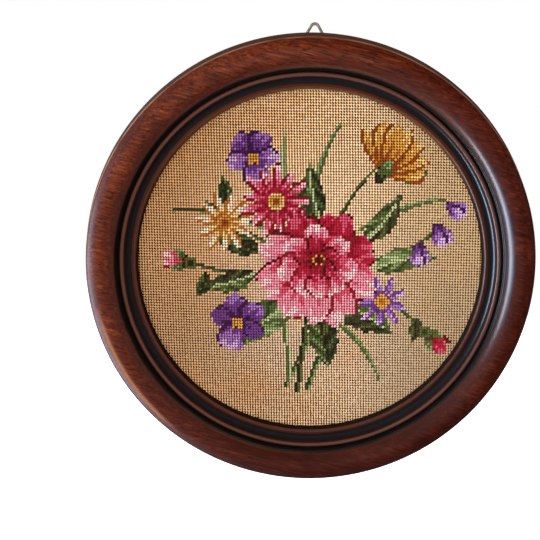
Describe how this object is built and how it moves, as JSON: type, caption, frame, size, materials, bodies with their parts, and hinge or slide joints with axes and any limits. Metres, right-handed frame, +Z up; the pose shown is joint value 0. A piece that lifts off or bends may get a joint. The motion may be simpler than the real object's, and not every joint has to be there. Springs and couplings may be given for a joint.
{
  "type": "framed round needlepoint embroidery",
  "caption": "Round turned wooden frame holding a stretched needlepoint flower embroidery, hung by a triangular wire loop behind its top.",
  "frame": {"origin": "top of the hanging loop's hole, where the nail bears", "axes": "+Z up, -Y out of the picture's front, +X to the viewer's right, +Y towards the wall"},
  "size_m": [0.2344, 0.0243, 0.2395],
  "materials": {
    "turned_wood": "satin varnish over red-brown wood, with blackened grooves",
    "needlepoint": "matt stranded thread in half-cross stitch on open canvas",
    "board": "plain pressed board",
    "loop_wire": "dulled brass wire",
    "strap_brass": "dulled brass sheet",
    "screw_steel": "plain steel"
  },
  "bodies": {
    "root": {"wooden_frame": "turned_wood", "embroidered_cloth": "needlepoint", "backing_board": "board", "hanging_loop": "loop_wire", "hanger_strap": "strap_brass", "hanger_screw": "screw_steel"}
  },
  "joints": []
}
